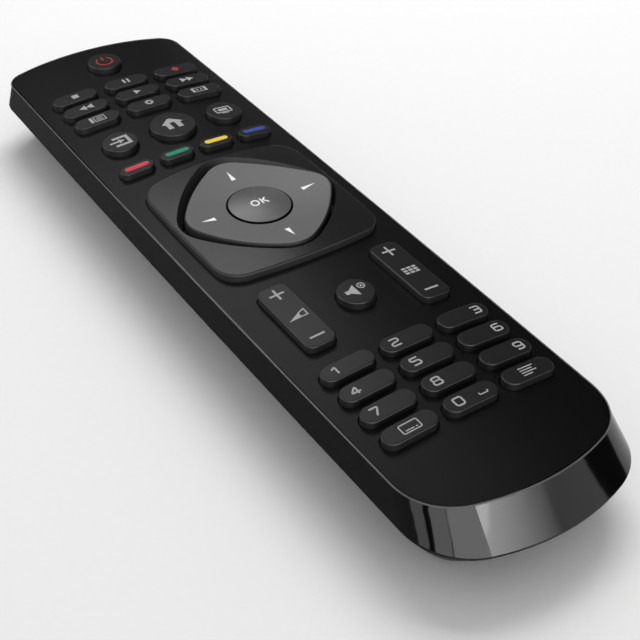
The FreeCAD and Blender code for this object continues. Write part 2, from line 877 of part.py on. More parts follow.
def cushion(name, radius, width, top, thickness):
    """A rubber ring that carries a rocking piece and leans with it."""
    body = new_body(name)
    sketch = new_sketch(body, offset=top)
    circle(sketch, None, S.arrows_place, radius + width)
    circle(sketch, None, S.arrows_place, radius)
    pad(body, sketch, thickness, reverse=True)


# The case


def side_frame():
    """The gloss band round the case, with the ledge that the cover lies on."""
    body = new_body("side_frame")
    loft(body, [outline_sketch(body, SKIRT, S.skirt_height), outline_sketch(body, DECK, S.deck_height)])
    cut_above_crown(body, GROUND)
    recess = outline_sketch(body, inset(COVER, -S.cover_fit), S.cover_seat)
    pocket(body, recess, S.deck_height, reverse=True)
    ledge_bottom = S.cover_seat - S.ledge_depth
    opening = outline_sketch(body, inset(COVER, S.ledge_reach), S.skirt_height)
    pocket(body, opening, reverse=True)
    inner_top = between(SKIRT, DECK, S.skirt_height, S.deck_height, ledge_bottom)
    cavity = [
        outline_sketch(body, inset(SKIRT, S.frame_wall), S.skirt_height),
        outline_sketch(body, inset(inner_top, S.frame_wall), ledge_bottom),
    ]
    loft(body, cavity, "PartDesign::SubtractiveLoft")
    window = new_sketch(body, "XZ_Plane")
    half_width = S.window_half_width + S.window_fit
    box(window, -half_width, half_width, S.window_bottom - S.window_fit, S.window_top + S.window_fit)
    pocket(body, window)


def top_cover():
    """The crowned matte cover with its key openings and the lip that it stands on."""
    body = new_body("top_cover")
    height = S.deck_height - S.cover_seat
    inner = outline_sketch(body, inset(COVER, S.cover_lip), S.cover_seat)
    pad(body, inner, height)
    cut_below_crown(body, COVER_UNDERSIDE, GROUND)
    lip = outline_sketch(body, COVER, S.cover_seat)
    bowed_outline(lip, inset(COVER, S.cover_lip))
    pad(body, lip, height)
    cut_above_crown(body, GROUND)
    for group in KEY_GROUPS:
        openings = new_sketch(body)
        for key in group:
            key_outline(openings, key, S.key_gap)
        pocket(body, openings, reverse=True)
    gap = S.key_gap
    openings = new_sketch(body)
    width = S.rocker_width + gap * 2
    length = S.rocker_length + gap * 2
    for _, x in ROCKERS:
        rounded_box(openings, x, S.rocker_place, width, length, S.rocker_corner + gap)
    pocket(body, openings, reverse=True)
    opening = new_sketch(body)
    corner_plate_outline(opening, gap)
    pocket(body, opening, reverse=True)


def ir_window():
    """The dark window in the far wall, flush with the frame."""
    body = new_body("ir_window")
    loft(body, [outline_sketch(body, SKIRT, S.skirt_height), outline_sketch(body, DECK, S.deck_height)])
    trim = new_sketch(body, "XZ_Plane")
    far_left = -CROWN_REACH
    box(trim, far_left, CROWN_REACH, GROUND, SKY)
    box(trim, -S.window_half_width, S.window_half_width, S.window_bottom, S.window_top)
    pocket(body, trim, both=True)
    back = new_sketch(body, "XZ_Plane", -S.window_back)
    box(back, far_left, CROWN_REACH, GROUND, SKY)
    pocket(body, back, reverse=True)


def hull(body):
    """The whole tapering tub, solid, with a bevel round its foot and a straight rim on top."""
    sections = [
        outline_sketch(body, inset(BASE, S.base_bevel_reach), GROUND),
        outline_sketch(body, between(BASE, SEAM, GROUND, SEAM_BOTTOM, S.base_bevel_height), S.base_bevel_height),
        outline_sketch(body, SEAM, SEAM_BOTTOM),
        outline_sketch(body, SEAM, S.skirt_height),
    ]
    loft(body, sections)


def hull_cavity(body, wall, floor):
    """Hollows the hull from the top, down to a floor."""
    inner_floor = between(BASE, SEAM, GROUND, SEAM_BOTTOM, floor)
    sections = [
        outline_sketch(body, inset(inner_floor, wall), floor),
        outline_sketch(body, inset(SEAM, wall), SEAM_BOTTOM),
        outline_sketch(body, inset(SEAM, wall), S.skirt_height),
    ]
    loft(body, sections, "PartDesign::SubtractiveLoft")


BAY_NEAR = S.bay_far - S.bay_length
OPENING_HALF_WIDTH = S.door_half_width + S.door_gap
TONGUE_BOTTOM = S.shell_floor + S.tongue_lift
TONGUE_TOP = TONGUE_BOTTOM + S.tongue_height
TONGUE_HALF_WIDTH = S.door_half_width + S.tongue_reach


def back_shell():
    """The tapering tub below the frame, with the battery bay, the posts and the door's way out."""
    body = new_body("back_shell")
    hull(body)
    hull_cavity(body, S.shell_wall, S.shell_floor)

    walls = new_sketch(body, offset=S.shell_floor)
    outer = S.bay_half_width + S.bay_wall
    box(walls, -outer, outer, BAY_NEAR - S.bay_wall, S.bay_far + S.bay_wall)
    box(walls, -S.bay_half_width, S.bay_half_width, BAY_NEAR, S.bay_far)
    pad(body, walls, S.board_seat - S.shell_floor)

    posts = new_sketch(body, offset=S.shell_floor)
    for x in (-S.post_across, S.post_across):
        for y in (BAY_NEAR + S.post_radius, S.post_far):
            circle(posts, x, y, S.post_radius)
    pad(body, posts, S.board_seat - S.shell_floor)

    way_out = new_sketch(body, "XZ_Plane", -(S.door_far + S.door_gap))
    gap = S.door_gap
    slot_bottom = TONGUE_BOTTOM - gap
    slot_top = TONGUE_TOP + gap
    slot = TONGUE_HALF_WIDTH + gap
    below = GROUND - 1
    above = S.door_height + gap
    polygon(way_out, [
        (-OPENING_HALF_WIDTH, below),
        (OPENING_HALF_WIDTH, below),
        (OPENING_HALF_WIDTH, slot_bottom),
        (slot, slot_bottom),
        (slot, slot_top),
        (OPENING_HALF_WIDTH, slot_top),
        (OPENING_HALF_WIDTH, above),
        (-OPENING_HALF_WIDTH, above),
        (-OPENING_HALF_WIDTH, slot_top),
        (-slot, slot_top),
        (-slot, slot_bottom),
        (-OPENING_HALF_WIDTH, slot_bottom),
    ])
    pocket(body, way_out, reverse=True)


def battery_door():
    """The part of the hull under the bay, on tongues that slide along the shell's floor."""
    body = new_body("battery_door")
    hull(body)
    hull_cavity(body, S.door_skin + S.door_gap, S.door_skin)
    trim = new_sketch(body, "XZ_Plane")
    box(trim, -CROWN_REACH, CROWN_REACH, -SKY, SKY)
    box(trim, -S.door_half_width, S.door_half_width, -(SKY / 2), S.door_height)
    pocket(body, trim, both=True)
    far_end = new_sketch(body, "XZ_Plane", -S.door_far)
    box(far_end, -CROWN_REACH, CROWN_REACH, -SKY, SKY)
    pocket(body, far_end)
    tongues = new_sketch(body, "XZ_Plane", -S.bay_far)
    for side in (-1, 1):
        inner = (S.door_half_width - S.tongue_rib) * side
        edge = S.door_half_width * side
        tip = TONGUE_HALF_WIDTH * side
        polygon(tongues, [
            (inner, S.door_skin / 2),
            (edge, S.door_skin / 2),
            (edge, TONGUE_BOTTOM),
            (tip, TONGUE_BOTTOM),
            (tip, TONGUE_TOP),
            (inner, TONGUE_TOP),
        ])
    pad(body, tongues, S.bay_length)


# Batteries and their contacts. Each cell lies along Y, the left one with its nub at the far end.

CELL_HEIGHT = S.shell_floor + S.cell_lift + S.cell_radius
CELL_X = S.cell_spacing / 2
FAR_CONTACT = S.bay_far - S.contact_thickness
NEAR_CONTACT = BAY_NEAR + S.contact_thickness


def cell(name, side):
    """A round cell with its nub at the far end on the left and at the near end on the right."""
    body = new_body(name)
    sketch = new_sketch(body, "YZ_Plane", CELL_X * side)
    if side < 0:
        tip = FAR_CONTACT
        shoulder = tip - S.nub_length
        back = tip - S.cell_length
    else:
        tip = NEAR_CONTACT
        shoulder = tip + S.nub_length
        back = tip + S.cell_length
    polygon(sketch, [
        (back, CELL_HEIGHT),
        (tip, CELL_HEIGHT),
        (tip, CELL_HEIGHT + S.nub_radius),
        (shoulder, CELL_HEIGHT + S.nub_radius),
        (shoulder, CELL_HEIGHT + S.cell_radius),
        (back, CELL_HEIGHT + S.cell_radius),
    ])
    revolve(body, sketch, "Edge1")


def contact(name, left, right, face, direction):
    """A flat steel contact on an end wall of the bay, from its face into the bay."""
    body = new_body(name)
    sketch = new_sketch(body, "XZ_Plane", -face)
    half_height = S.contact_height / 2
    box(sketch, left, right, CELL_HEIGHT - half_height, CELL_HEIGHT + half_height)
    pad(body, sketch, S.contact_thickness, reverse=direction > 0)


def smooth_arcs(start, start_way, end, end_way):
    """Two arcs that join two points and leave and meet them in the given directions."""
    span = end - start
    ways = start_way + end_way
    bend = 2 * (1 - start_way.dot(end_way))
    reach = (math.sqrt(span.dot(ways) ** 2 + bend * span.dot(span)) - span.dot(ways)) / bend
    middle = (start + end + (start_way - end_way) * reach) / 2
    arcs = []
    for first, corner, last in ((start, start + start_way * reach, middle), (middle, end - end_way * reach, end)):
        chord_middle = (first + last) / 2
        height = (chord_middle - corner).Length
        radius = reach * (first - chord_middle).Length / height
        crest = corner + (chord_middle - corner) * ((math.hypot(reach, radius) - radius) / height)
        arcs.append(Part.Arc(first, crest, last).toShape())
    return arcs


def coil(name, side):
    """A conical coil spring that widens from a cell's flat end to its contact."""
    wire = sheet.get("coil_wire")
    pitch = sheet.get("coil_pitch")
    spread = math.tan(math.radians(sheet.get("coil_cone")))
    flat_end = FAR_CONTACT - S.cell_length if side < 0 else NEAR_CONTACT + S.cell_length
    length = (FAR_CONTACT - NEAR_CONTACT - S.cell_length).value - 2 * wire
    quarters = math.ceil(4 * length / pitch)
    points = []
    ways = []
    for index in range(quarters + 1):
        travel = length * index / quarters
        turn = index * math.pi / 2
        radius = sheet.get("coil_radius") + travel * spread
        along = travel / turn if turn else length / (quarters * math.pi / 2)
        points.append(FreeCAD.Vector(radius * math.cos(turn), side * travel, radius * math.sin(turn)))
        outward = along * spread
        way = FreeCAD.Vector(
            outward * math.cos(turn) - radius * math.sin(turn),
            side * along,
            outward * math.sin(turn) + radius * math.cos(turn),
        )
        ways.append(way.normalize())
    arcs = []
    for index in range(quarters):
        arcs += smooth_arcs(points[index], ways[index], points[index + 1], ways[index + 1])
    section = Part.Wire(Part.makeCircle(wire, points[0], ways[0]))
    spring = doc.addObject("Part::Feature", name)
    spring.Label = name
    spring.Shape = Part.Wire(arcs).makePipeShell([section], True, False)
    start = flat_end.value + wire * side
    spring.Placement = FreeCAD.Placement(FreeCAD.Vector(CELL_X.value * side, start, CELL_HEIGHT.value), FreeCAD.Rotation())
    turn_arcs = 8
    gaps = [
        first.distToShape(second)[0]
        for index, first in enumerate(arcs)
        for second in arcs[index + turn_arcs - 2:]
    ]
    print(f"{name}: the least gap between its turns is {min(gaps) - 2 * wire:.2f} mm")
    SUBPARTS.append(spring)


# Electronics


def circuit_board():
    body = new_body("circuit_board")
    sketch = new_sketch(body, offset=S.board_seat)
    middle = (S.board_near + S.board_far) / 2
    rounded_box(sketch, None, middle, S.board_half_width * 2, S.board_far - S.board_near, S.board_corner)
    pad(body, sketch, S.board_thickness)


def under_board(name, x, place, across, along, thickness):
    """A square-cornered part soldered under the board."""
    body = new_body(name)
    sketch = new_sketch(body, offset=S.board_seat)
    box(sketch, x - across / 2, x + across / 2, place - along / 2, place + along / 2)
    pad(body, sketch, thickness, reverse=True)


def capacitor():
    """A can that hangs upright from the board."""
    body = new_body("capacitor")
    sketch = new_sketch(body, offset=S.board_seat)
    circle(sketch, S.chip_side, S.capacitor_place, S.capacitor_radius)
    pad(body, sketch, S.capacitor_length, reverse=True)


def infrared_led():
    """The infrared diode at the board's far edge, with its collar and round nose."""
    body = new_body("infrared_led")
    height = S.board_seat + S.board_thickness / 2
    sketch = new_sketch(body, "YZ_Plane")
    back = S.board_far + S.led_gap
    collar_end = back + S.led_collar_length
    nose = back + S.led_length
    round_start = nose - S.led_radius
    collar_radius = S.led_radius + S.led_collar
    points = [
        (back, height),
        (back, height + collar_radius),
        (collar_end, height + collar_radius),
        (collar_end, height + S.led_radius),
        (round_start, height + S.led_radius),
        (nose, height),
    ]
    values = [(x.value, y.value) for x, y in points]
    pieces = [add_line(sketch, values[index], values[index + 1]) for index in range(4)]
    pieces.append(add_arc(sketch, (round_start.value, height.value), S.led_radius.value, values[5], values[4]))
    pieces.append(add_line(sketch, values[5], values[0]))
    for first, second in zip(pieces[:3], pieces[1:4]):
        sketch.addConstraint(Sketcher.Constraint("Coincident", first, 2, second, 1))
    sketch.addConstraint(Sketcher.Constraint("Coincident", pieces[3], 2, pieces[4], 2))
    sketch.addConstraint(Sketcher.Constraint("Coincident", pieces[4], 1, pieces[5], 1))
    sketch.addConstraint(Sketcher.Constraint("Coincident", pieces[5], 2, pieces[0], 1))
    for piece, (x, y) in zip(pieces[:4], points[:4]):
        place_point(sketch, piece, 1, x, y)
    place_point(sketch, pieces[4], 3, round_start, height)
    place_point(sketch, pieces[4], 2, round_start, height + S.led_radius)
    measure(sketch, "DistanceY", (-1, 1, pieces[4], 1), height)
    revolve(body, sketch, "Edge6")


def keypad_mat():
    """The rubber sheet under the keys, with a dome under each."""
    body = new_body("keypad_mat")
    bottom = S.board_seat + S.board_thickness
    sheet_sketch = new_sketch(body, offset=bottom)
    middle = (S.mat_near + S.mat_far) / 2
    rounded_box(sheet_sketch, None, middle, S.mat_half_width * 2, S.mat_far - S.mat_near, S.board_corner)
    pad(body, sheet_sketch, S.mat_thickness)
    domes = new_sketch(body, offset=bottom + S.mat_thickness)
    for key in SLIDING_KEYS:
        circle(domes, key.x, key.y, S.dome_radius)
    rocker_end = S.rocker_length / 2 - S.rocker_width / 2
    for _, x in ROCKERS:
        for end in (-1, 1):
            circle(domes, x, S.rocker_place + rocker_end * end, S.dome_radius)
    circle(domes, None, S.arrows_place, S.dome_radius)
    for side in (-1, 1):
        circle(domes, (S.ring_tip - S.ring_corner) * side, S.arrows_place, S.dome_radius)
        circle(domes, None, S.arrows_place + (S.ring_tip - S.ring_corner) * side, S.dome_radius)
    pad(body, domes, S.dome_height)


def build_all():
    side_frame()
    top_cover()
    ir_window()
    back_shell()
    battery_door()
    for key in SLIDING_KEYS:
        sliding_key(key)
    for name, x in ROCKERS:
        rocker(name, x)
    corner_plate()
    arrow_ring()
    centre_button()
    cushion(
        "ring_cushion", S.ring_cushion_radius, S.ring_cushion_width,
        S.ring_bottom - S.cushion_gap, S.ring_cushion_thickness,
    )
    cushion(
        "plate_cushion", S.plate_cushion_radius, S.plate_cushion_width,
        S.rocking_bottom - S.cushion_gap, S.plate_cushion_thickness,
    )
    cell("left_cell", -1)
    cell("right_cell", 1)
    half_contact = S.contact_width / 2
    contact("near_contact", -(CELL_X + half_contact), CELL_X + half_contact, BAY_NEAR, 1)
    contact("left_contact", -(CELL_X + half_contact), half_contact - CELL_X, S.bay_far, -1)
    contact("right_contact", CELL_X - half_contact, CELL_X + half_contact, S.bay_far, -1)
    coil("left_coil", -1)
    coil("right_coil", 1)
    circuit_board()
    keypad_mat()
    under_board("controller_chip", GROUND, S.chip_place, S.chip_side, S.chip_side, S.chip_thickness)
    under_board(
        "resonator", GROUND, S.resonator_place,
        S.resonator_length, S.resonator_width, S.resonator_thickness,
    )
    capacitor()
    infrared_led()


def check_all():
    """Stops with a message if any feature failed, any cut missed or any shape is broken."""
    for item in doc.Objects:
        if "Invalid" in item.State or "Error" in item.State:
            raise RuntimeError(f"{item.Label} is {item.State}")
    for item in doc.Objects:
        if item.TypeId in ("PartDesign::Pocket", "PartDesign::SubtractiveLoft", "PartDesign::Groove"):
            if item.Shape.Volume >= item.BaseFeature.Shape.Volume:
                raise RuntimeError(f"{item.Label} cuts nothing")
    for piece in SUBPARTS:
        if piece.Shape.isNull() or not piece.Shape.isValid():
            raise RuntimeError(f"{piece.Label} has no valid shape")
        if len(piece.Shape.Solids) != 1:
            raise RuntimeError(f"{piece.Label} has {len(piece.Shape.Solids)} solids")


def export_all():
    os.makedirs("parts", exist_ok=True)
    for piece in SUBPARTS:
        piece.Shape.exportStep(f"parts/{piece.Label}.step")


build_all()
doc.recompute()
check_all()
export_all()
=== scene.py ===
import math

import bmesh
import bpy
from mathutils import Euler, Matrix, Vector


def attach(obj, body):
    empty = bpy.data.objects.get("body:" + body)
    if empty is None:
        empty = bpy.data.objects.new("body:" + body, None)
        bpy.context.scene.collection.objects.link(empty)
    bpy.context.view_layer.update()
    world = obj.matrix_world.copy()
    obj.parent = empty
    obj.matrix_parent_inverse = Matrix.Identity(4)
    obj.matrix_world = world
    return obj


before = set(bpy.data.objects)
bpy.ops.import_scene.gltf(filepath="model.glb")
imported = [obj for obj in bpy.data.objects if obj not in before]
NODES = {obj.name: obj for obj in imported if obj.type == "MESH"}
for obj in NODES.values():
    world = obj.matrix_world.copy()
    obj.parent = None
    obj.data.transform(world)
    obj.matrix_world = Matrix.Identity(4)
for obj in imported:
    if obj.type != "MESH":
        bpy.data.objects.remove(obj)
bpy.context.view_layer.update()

# A television remote control on a pale floor. Places on the part are in millimetres, as in its
# source, and are turned into metres where meshes are made.

MM = 0.001

# The crown that the cover follows, and how far the key tops stand above it

DECK_HEIGHT = 18.5
CROWN_RADIUS = 215.0
KEY_RISE = 1.66

# The arrow ring's dish and the centre button's dome, about the same upright axis

ARROWS_PLACE = 3.75
DISH_RADIUS = 105.0
DISH_HEIGHT = 19.3
BUTTON_RADIUS = 7.1
BUTTON_RIM = 19.85
BUTTON_TOP = 20.5

# Materials. A fine grain gives each its bump and shade, and a broad wear varies its roughness.

GRAIN_DETAIL = 3.0
DARK_GRAIN = 0.3
LIGHT_GRAIN = 0.7
WEAR_SIZE = 18.0
WEAR_DETAIL = 2.0
WEAR_SHARE = 0.07

# How upright a face's normal is where its wall is fully darkened and where the darkening ends: partly
# two-tone paint, partly painted shade

DARK_WALL_FULL = 0.84
DARK_WALL_NONE = 0.93


def linear(value):
    """The linear light of a display value from 0 to 255."""
    share = value / 255
    return share / 12.92 if share <= 0.04045 else ((share + 0.055) / 1.055) ** 2.4


def grey(value):
    return (linear(value),) * 3 + (1.0,)


def colour(red, green, blue):
    return (linear(red), linear(green), linear(blue), 1.0)


def plastic(name, base, roughness, specular, grain, depth, speckle=0.12, metallic=0.0):
    """Moulded plastic or rubber: a fine grain in its surface, its shade and its roughness.

    grain is the size of the grain in millimetres and depth its height.
    """
    material = bpy.data.materials.new(name)
    material.use_nodes = True
    nodes = material.node_tree.nodes
    links = material.node_tree.links
    shader = nodes["Principled BSDF"]
    shader.inputs["Specular IOR Level"].default_value = specular
    shader.inputs["Metallic"].default_value = metallic
    place = nodes.new("ShaderNodeTexCoord")

    fine = nodes.new("ShaderNodeTexNoise")
    fine.inputs["Scale"].default_value = 1 / (grain * MM)
    fine.inputs["Detail"].default_value = GRAIN_DETAIL
    links.new(place.outputs["Object"], fine.inputs["Vector"])

    shade = nodes.new("ShaderNodeValToRGB")
    dark, light = shade.color_ramp.elements
    dark.position = DARK_GRAIN
    light.position = LIGHT_GRAIN
    dark.color = tuple(part * (1 - speckle) for part in base[:3]) + (1.0,)
    light.color = tuple(part * (1 + speckle) for part in base[:3]) + (1.0,)
    links.new(fine.outputs["Fac"], shade.inputs["Fac"])
    links.new(shade.outputs["Color"], shader.inputs["Base Color"])

    broad = nodes.new("ShaderNodeTexNoise")
    broad.inputs["Scale"].default_value = 1 / (WEAR_SIZE * MM)
    broad.inputs["Detail"].default_value = WEAR_DETAIL
    links.new(place.outputs["Object"], broad.inputs["Vector"])
    wear = nodes.new("ShaderNodeMapRange")
    wear.inputs["To Min"].default_value = roughness * (1 - WEAR_SHARE)
    wear.inputs["To Max"].default_value = roughness * (1 + WEAR_SHARE)
    links.new(broad.outputs["Fac"], wear.inputs["Value"])
    links.new(wear.outputs["Result"], shader.inputs["Roughness"])

    bump = nodes.new("ShaderNodeBump")
    bump.inputs["Distance"].default_value = depth * MM
    bump.inputs["Strength"].default_value = 1.0
    links.new(fine.outputs["Fac"], bump.inputs["Height"])
    links.new(bump.outputs["Normal"], shader.inputs["Normal"])
    return material


def two_tone_and_painted_shade(material, wall_paint_and_shade, side_roughness):
    """Darkens and dulls a moulded piece's walls and slopes: painted shade in gaps and gutters, and on the
    ring and button partly a two-tone paint.
    """
    nodes = material.node_tree.nodes
    links = material.node_tree.links
    shader = nodes["Principled BSDF"]
    surface = nodes.new("ShaderNodeNewGeometry")
    parts = nodes.new("ShaderNodeSeparateXYZ")
    level = nodes.new("ShaderNodeMapRange")
    level.inputs["From Min"].default_value = DARK_WALL_FULL
    level.inputs["From Max"].default_value = DARK_WALL_NONE
    links.new(surface.outputs["Normal"], parts.inputs["Vector"])
    links.new(parts.outputs["Z"], level.inputs["Value"])

    shade = nodes.new("ShaderNodeMixRGB")
    shade.inputs["Color1"].default_value = grey(wall_paint_and_shade)
    links.new(level.outputs["Result"], shade.inputs["Fac"])
    links.new(shader.inputs["Base Color"].links[0].from_socket, shade.inputs["Color2"])
    links.new(shade.outputs["Color"], shader.inputs["Base Color"])

    gloss = nodes.new("ShaderNodeMapRange")
    gloss.inputs["To Min"].default_value = side_roughness
    links.new(level.outputs["Result"], gloss.inputs["Value"])
    links.new(shader.inputs["Roughness"].links[0].from_socket, gloss.inputs["To Max"])
    links.new(gloss.outputs["Result"], shader.inputs["Roughness"])


# Each material's colour, roughness, specular level, size of grain and depth of grain

COVER = plastic("matte_cover", grey(9), 0.34, 0.45, 0.22, 0.004)
FRAME = plastic("gloss_frame", grey(6), 0.08, 0.5, 3.0, 0.0008)
# The light grey of the black band's edge bead is a painted highlight
PAINTED_HIGHLIGHT_EDGE = plastic("painted_highlight_edge", grey(92), 0.3, 0.6, 2.0, 0.002)
SHELL = plastic("matte_shell", grey(14), 0.5, 0.3, 0.3, 0.01)
WINDOW = plastic("dark_window", colour(28, 8, 12), 0.05, 0.5, 3.0, 0.0005)
KEY = plastic("key_rubber", grey(26), 0.36, 0.75, 0.18, 0.004)
PLATE = plastic("corner_plate_satin", grey(24), 0.25, 0.85, 0.2, 0.001)
RING = plastic("ring_satin", grey(102), 0.32, 0.6, 0.16, 0.001)
BUTTON = plastic("button_satin", grey(148), 0.36, 0.5, 0.16, 0.0008, metallic=0.8)
RUBBER = plastic("mat_rubber", grey(150), 0.6, 0.3, 0.3, 0.006)
BOARD = plastic("board_resist", colour(30, 110, 60), 0.35, 0.5, 0.6, 0.004)
CHIP = plastic("chip_epoxy", grey(40), 0.55, 0.4, 0.15, 0.006)
CERAMIC = plastic("resonator_ceramic", colour(190, 130, 60), 0.4, 0.5, 0.3, 0.004)
SLEEVE = plastic("capacitor_sleeve", colour(40, 46, 70), 0.3, 0.5, 0.5, 0.002)
DIODE = plastic("diode_resin", colour(60, 40, 70), 0.08, 0.5, 2.0, 0.0005)
CELL = plastic("cell_wrap", grey(110), 0.3, 0.5, 0.5, 0.001, metallic=0.6)
NICKEL = plastic("nickel", grey(190), 0.25, 0.5, 0.25, 0.0015, metallic=1.0)
PRINT = plastic("pale_print", grey(164), 0.55, 0.3, 0.12, 0.002, speckle=0.06)
WHITE_PRINT = plastic("white_print", grey(246), 0.55, 0.3, 0.12, 0.002, speckle=0.04)
RED_PRINT = plastic("red_print", colour(172, 50, 44), 0.5, 0.3, 0.12, 0.002, speckle=0.06)
RED = plastic("red_bar", colour(206, 62, 76), 0.4, 0.4, 0.2, 0.002, speckle=0.06)
GREEN = plastic("green_bar", colour(38, 134, 108), 0.4, 0.4, 0.2, 0.002, speckle=0.06)
YELLOW = plastic("yellow_bar", colour(232, 206, 74), 0.4, 0.4, 0.2, 0.002, speckle=0.06)
BLUE = plastic("blue_bar", colour(50, 76, 150), 0.4, 0.4, 0.2, 0.002, speckle=0.06)

# Dark walls: painted shade in the gaps round the keys and button and in the plate's gutter, and on the
# ring and button partly a two-tone paint
two_tone_and_painted_shade(KEY, wall_paint_and_shade=12, side_roughness=0.5)
for material in (RING, BUTTON, PLATE):
    two_tone_and_painted_shade(material, wall_paint_and_shade=4, side_roughness=0.6)

# The material of each piece of the model. Those not listed are the keys.

NODE_MATERIALS = {
    "top_cover": COVER,
    "side_frame": FRAME,
    "back_shell": SHELL,
    "battery_door": SHELL,
    "ir_window": WINDOW,
    "corner_plate": PLATE,
    "arrow_ring": RING,
    "centre_button": BUTTON,
    "keypad_mat": RUBBER,
    "ring_cushion": RUBBER,
    "plate_cushion": RUBBER,
    "circuit_board": BOARD,
    "controller_chip": CHIP,
    "resonator": CERAMIC,
    "capacitor": SLEEVE,
    "infrared_led": DIODE,
    "left_cell": CELL,
    "right_cell": CELL,
    "near_contact": NICKEL,
    "left_contact": NICKEL,
    "right_contact": NICKEL,
    "left_coil": NICKEL,
    "right_coil": NICKEL,
}

for node, piece in NODES.items():
    piece.data.materials.clear()
    piece.data.materials.append(NODE_MATERIALS.get(node, KEY))

# The gloss band's upper edge: a fine bead in a light grey, a painted highlight that shows as a thin light
# line

BEAD_RADIUS = 0.16
BEAD_ROUNDNESS = 3
BEAD_LOWEST = 12.5
BEAD_WELD = 0.002
WALL_NORMAL_MOST = 0.8
RIM_NORMAL_LEAST = 0.9


def upper_edge(piece):
    """The corners of a piece's outer upper edge, in order from one end to the other."""
    shape = bmesh.new()
    shape.from_mesh(piece.data)
    bmesh.ops.remove_doubles(shape, verts=shape.verts, dist=BEAD_WELD * MM)
    shape.verts.index_update()
    beside = {}
    for edge in shape.edges:
        wall, rim = sorted(edge.link_faces, key=lambda face: face.normal.z)
        middle = (edge.verts[0].co + edge.verts[1].co) / 2
        outwards = wall.normal.x * middle.x + wall.normal.y * middle.y > 0
        upper = middle.z > BEAD_LOWEST * MM
        sharp = 0.0 < wall.normal.z < WALL_NORMAL_MOST and rim.normal.z > RIM_NORMAL_LEAST
        if outwards and upper and sharp:
            first, second = edge.verts
            beside.setdefault(first, []).append(second)
            beside.setdefault(second, []).append(first)
    here = min(beside, key=lambda vert: (len(beside[vert]), vert.index))
    line = []
    while here:
        line.append(here)
        onwards = [vert for vert in beside[here] if vert not in line]
        here = min(onwards, key=lambda vert: vert.index) if onwards else None
    places = [tuple(vert.co) for vert in line]
    shape.free()
    return places


bead_line = bpy.data.curves.new("edge_bead", "CURVE")
bead_line.dimensions = "3D"
bead_line.bevel_depth = BEAD_RADIUS * MM
bead_line.bevel_resolution = BEAD_ROUNDNESS
bead_places = upper_edge(NODES["side_frame"])
run = bead_line.splines.new("POLY")
run.points.add(len(bead_places) - 1)
for point, place in zip(run.points, bead_places):
    point.co = (*place, 1.0)
run.use_cyclic_u = True
bead_line.materials.append(PAINTED_HIGHLIGHT_EDGE)
bead = bpy.data.objects.new("edge_bead", bead_line)
bpy.context.scene.collection.objects.link(bead)
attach(bead, "case")


# Signs: thin prints that follow the face they are on. Outlines are lists of points in
# millimetres from the middle of their key.

PRINT_HEIGHT = 0.03
PRINT_DEPTH = 0.05
PRINT_WELD = 0.001
CORNER_STEPS = 5
CORNER_SHARE = 0.49
MITRE_LEAST = 0.5
ARC_STEPS = 24
CIRCLE_POINTS = 24


def crown(rise):
    """The height of the crown, raised by a distance, at any place."""
    radius = CROWN_RADIUS + rise
    centre = DECK_HEIGHT - CROWN_RADIUS
    return lambda x, y: centre + math.sqrt(radius ** 2 - x ** 2)


def dish(x, y):
    """The height of the arrow ring's hollow top."""
    return DISH_HEIGHT + DISH_RADIUS - math.sqrt(DISH_RADIUS ** 2 - x ** 2 - (y - ARROWS_PLACE) ** 2)


def dome(x, y):
    """The height of the centre button's rounded top."""
    rise = BUTTON_TOP - BUTTON_RIM
    radius = (BUTTON_RADIUS ** 2 + rise ** 2) / (2 * rise)
    return BUTTON_TOP - radius + math.sqrt(radius ** 2 - x ** 2 - (y - ARROWS_PLACE) ** 2)


def arc(centre_x, centre_y, radius, start, end, steps=ARC_STEPS):
    """Points along an arc between two angles in degrees."""
    angles = [math.radians(start + (end - start) * step / steps) for step in range(steps + 1)]
    return [(centre_x + radius * math.cos(angle), centre_y + radius * math.sin(angle)) for angle in angles]


def circle(x, y, radius):
    """Evenly spaced points all the way round."""
    last = 360 * (CIRCLE_POINTS - 1) / CIRCLE_POINTS
    return arc(x, y, radius, 0, last, CIRCLE_POINTS - 1)


def rounded(points, radius, closed=False):
    """A line of points with its corners rounded."""
    count = len(points)
    result = []
    for index, point in enumerate(points):
        if not closed and index in (0, count - 1):
            result.append(point)
            continue
        here = Vector(point)
        before = Vector(points[index - 1]) - here
        after = Vector(points[(index + 1) % count]) - here
        cut = min(radius, before.length * CORNER_SHARE, after.length * CORNER_SHARE)
        start = here + before.normalized() * cut
        end = here + after.normalized() * cut
        for step in range(CORNER_STEPS + 1):
            share = step / CORNER_STEPS
            spot = start * (1 - share) ** 2 + here * (2 * share * (1 - share)) + end * share ** 2
            result.append(tuple(spot))
    return result


def stroke(points, width, closed=False):
    """Four-sided faces along a line of points."""
    spots = [Vector(point) for point in points]
    count = len(spots)
    left = []
    right = []
    for index, spot in enumerate(spots):
        before = spots[index - 1] if index or closed else spot
        after = spots[(index + 1) % count] if index < count - 1 or closed else spot
        first = (spot - before) if (spot - before).length else (after - spot)
        second = (after - spot) if (after - spot).length else (spot - before)
        first.normalize()
        second.normalize()
        way = (first + second).normalized()
        across = Vector((-way.y, way.x)) * (width / 2 / max(way.dot(first), MITRE_LEAST))
        left.append(tuple(spot + across))
        right.append(tuple(spot - across))
    last = count if closed else count - 1
    return [
        [right[index], right[(index + 1) % count], left[(index + 1) % count], left[index]]
        for index in range(last)
    ]


def block(left, right, bottom, top):
    return [(left, bottom), (right, bottom), (right, top), (left, top)]


def triangle(left, right, half_height):
    """A triangle that points to the right if right is larger than left."""
    return [(left, half_height), (left, -half_height), (right, 0.0)]


def shifted(faces, x, y):
    return [[(px + x, py + y) for px, py in face] for face in faces]


